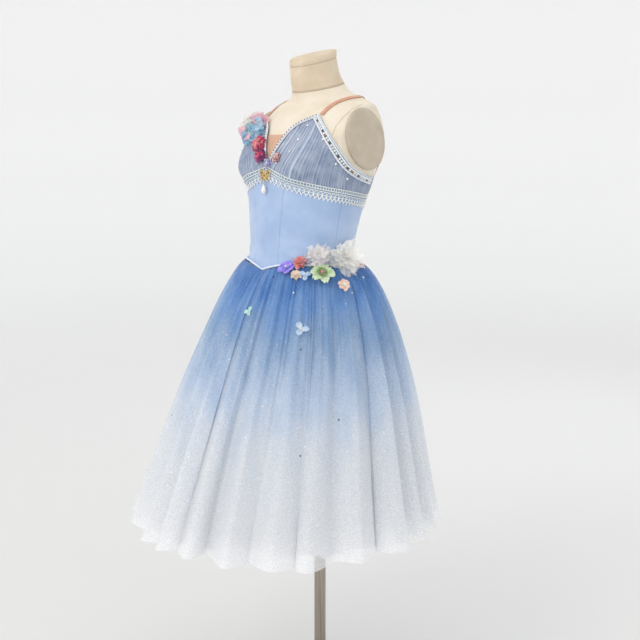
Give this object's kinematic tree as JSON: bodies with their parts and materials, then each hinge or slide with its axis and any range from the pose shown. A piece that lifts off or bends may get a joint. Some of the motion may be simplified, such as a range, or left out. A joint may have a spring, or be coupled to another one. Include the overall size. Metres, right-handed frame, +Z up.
{
  "type": "ballet dress on a limbless dress form with a pole stand",
  "caption": "Romantic ballet dress with a pleated bust, flower trims and a gathered tulle skirt, on a limbless dress form with a pole stand.",
  "frame": {"origin": "middle of the stand's foot, on the floor, under the pole's axis", "axes": "+Z up along the pole, the dress faces -Y, +X is the wearer's left"},
  "size_m": [0.6558, 0.6576, 1.3768],
  "materials": {
    "cream_linen": "matte woven linen cover",
    "beige_linen": "matte woven linen over board",
    "brushed_steel": "brushed",
    "ice_blue_satin": "soft satin sheen",
    "grey_blue_chiffon": "matte pleated chiffon",
    "nude_mesh": "matte stretch mesh",
    "silver_braid": "metallic thread and clear stones",
    "mint_lace": "matte thread with a faint sheen",
    "pale_piping": "satin cord",
    "blue_tulle": "sheer net with fine glitter",
    "pale_tulle": "sheer net",
    "nude_elastic": "ribbed elastic",
    "gilt_metal": "polished gilt",
    "pearl": "pearl lustre",
    "pink_organza": "crisp organza",
    "raspberry_silk": "soft silk",
    "plum_silk": "soft silk",
    "lavender_silk": "soft silk",
    "rose_silk": "soft silk",
    "violet_silk": "soft silk",
    "coral_silk": "soft silk",
    "cream_silk": "soft silk",
    "sky_silk": "soft silk",
    "leaf_silk": "soft silk",
    "mauve_organza": "crisp organza",
    "white_organza": "crisp organza",
    "peach_silk": "soft silk",
    "mint_silk": "soft silk"
  },
  "bodies": {
    "dress_on_form": {"form_torso": "cream_linen", "form_neck_cap": "cream_linen", "form_arm_plate_left": "beige_linen", "form_arm_plate_right": "beige_linen", "stand_collar": "brushed_steel", "stand_pole": "brushed_steel", "stand_foot": "brushed_steel", "bodice_front_centre": "ice_blue_satin", "bodice_side_front_left": "ice_blue_satin", "bodice_side_back_left": "ice_blue_satin", "bodice_back_left": "ice_blue_satin", "bodice_side_front_right": "ice_blue_satin", "bodice_side_back_right": "ice_blue_satin", "bodice_back_right": "ice_blue_satin", "cup_left": "grey_blue_chiffon", "cup_right": "grey_blue_chiffon", "back_band_left": "grey_blue_chiffon", "back_band_right": "grey_blue_chiffon", "neck_inset": "nude_mesh", "neck_braid_left": "silver_braid", "neck_braid_right": "silver_braid", "armhole_trim_left": "silver_braid", "armhole_trim_right": "silver_braid", "lace_left": "mint_lace", "lace_right": "mint_lace", "waist_piping": "pale_piping", "skirt_outer_front": "blue_tulle", "skirt_outer_left": "blue_tulle", "skirt_outer_back": "blue_tulle", "skirt_outer_right": "blue_tulle", "skirt_middle": "pale_tulle", "skirt_inner_front": "pale_tulle", "skirt_inner_left": "pale_tulle", "skirt_inner_back": "pale_tulle", "skirt_inner_right": "pale_tulle", "strap_left": "nude_elastic", "strap_right": "nude_elastic", "strap_slider_left": "gilt_metal", "strap_slider_right": "gilt_metal", "brooch": "gilt_metal", "brooch_bail": "gilt_metal", "shoulder_bloom": "pink_organza", "raspberry_rosette": "raspberry_silk", "plum_rosette": "plum_silk", "lavender_rosette": "lavender_silk", "rose_rosette": "rose_silk", "hip_violet_flower": "violet_silk", "hip_coral_flower": "coral_silk", "hip_cream_flower": "cream_silk", "hip_blue_petals": "sky_silk", "skirt_blue_petal": "sky_silk", "hip_green_flower": "leaf_silk", "hip_mauve_puff": "mauve_organza", "hip_white_bloom": "white_organza", "hip_peach_bud": "peach_silk", "skirt_peach_flower": "peach_silk", "skirt_mint_petal": "mint_silk"},
    "pearl_drop": {"drop_ring": "gilt_metal", "pearl_drop": "pearl"}
  },
  "joints": [
    {"name": "pearl_drop_swing", "type": "hinge", "parent": "dress_on_form", "child": "pearl_drop", "pos_m": [0, -0.1495, 1.1115], "axis": [-1, 0, 0], "range_deg": [0, 75]}
  ]
}
